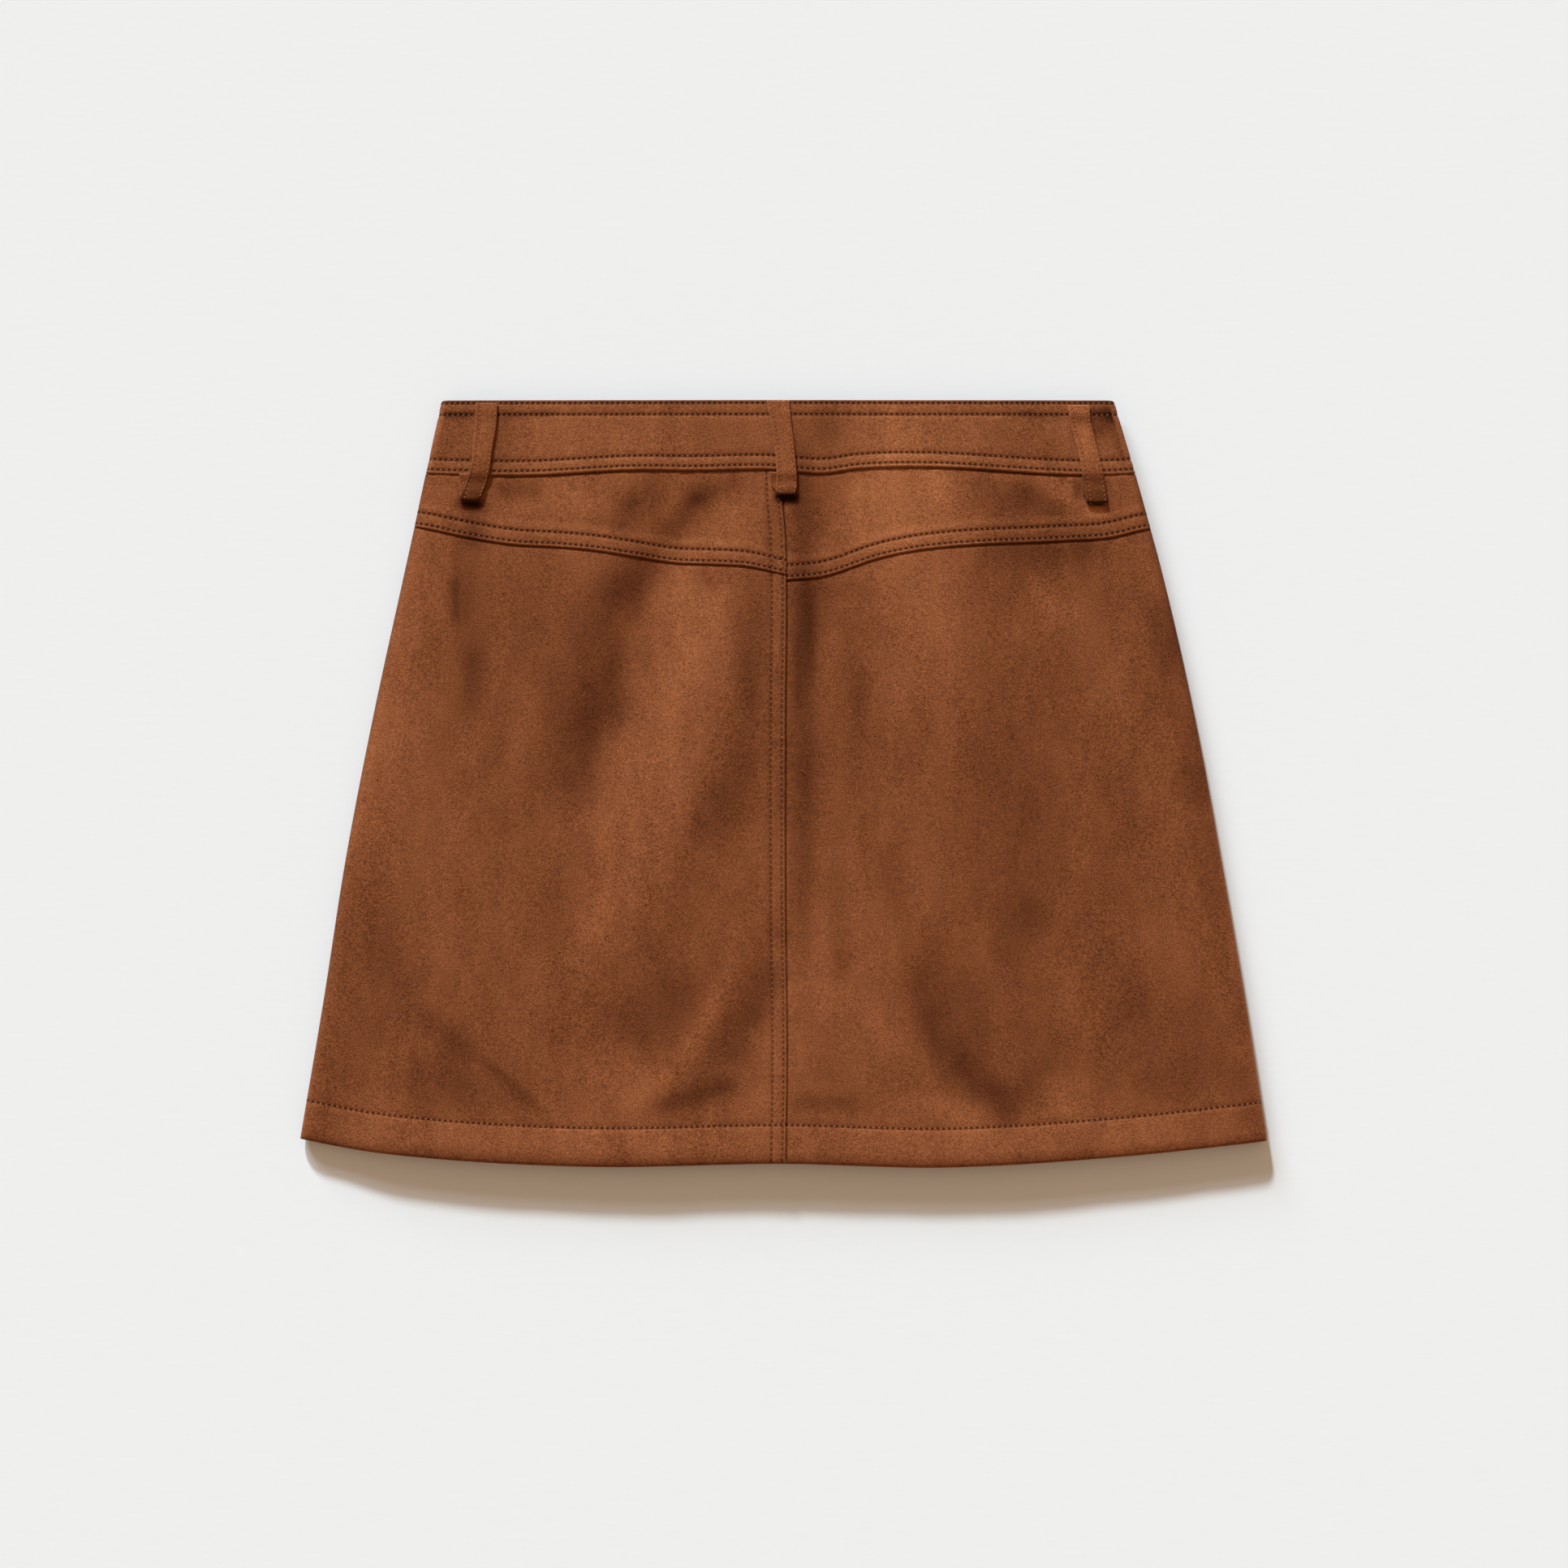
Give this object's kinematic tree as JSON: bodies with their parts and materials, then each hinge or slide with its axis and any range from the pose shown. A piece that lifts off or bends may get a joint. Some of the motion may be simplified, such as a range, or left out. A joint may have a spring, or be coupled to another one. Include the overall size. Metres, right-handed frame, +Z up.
{
  "type": "skort",
  "caption": "Faux-suede mini skort laid flat, back uppermost: waistband with belt loops, V-shaped back yoke, lapped centre back seam, plain hem and inner shorts",
  "frame": {"origin": "Middle of the laid garment's box in plan, on the surface that it lies on.", "axes": "+X towards the wearer's right side, +Y from the hem to the waist, +Z up off the surface and out of the garment's back."},
  "size_m": [0.5186, 0.4109, 0.0166],
  "materials": {
    "suede_panel": "brushed faux suede",
    "suede_yoke": "brushed faux suede",
    "suede_band": "brushed faux suede, topstitched",
    "suede_loop": "brushed faux suede, topstitched",
    "shorts_knit": "fine matt knit",
    "thread": "polyester sewing thread"
  },
  "bodies": {
    "root": {"back_panel_left": "suede_panel", "back_panel_right": "suede_panel", "back_yoke_left": "suede_yoke", "back_yoke_right": "suede_yoke", "front_panel_left": "suede_panel", "front_panel_right": "suede_panel", "waistband": "suede_band", "belt_loop_back_left": "suede_loop", "belt_loop_back_centre": "suede_loop", "belt_loop_back_right": "suede_loop", "belt_loop_front_left": "suede_loop", "belt_loop_front_right": "suede_loop", "shorts_front_left": "shorts_knit", "shorts_front_right": "shorts_knit", "shorts_back_left": "shorts_knit", "shorts_back_right": "shorts_knit"}
  },
  "joints": []
}
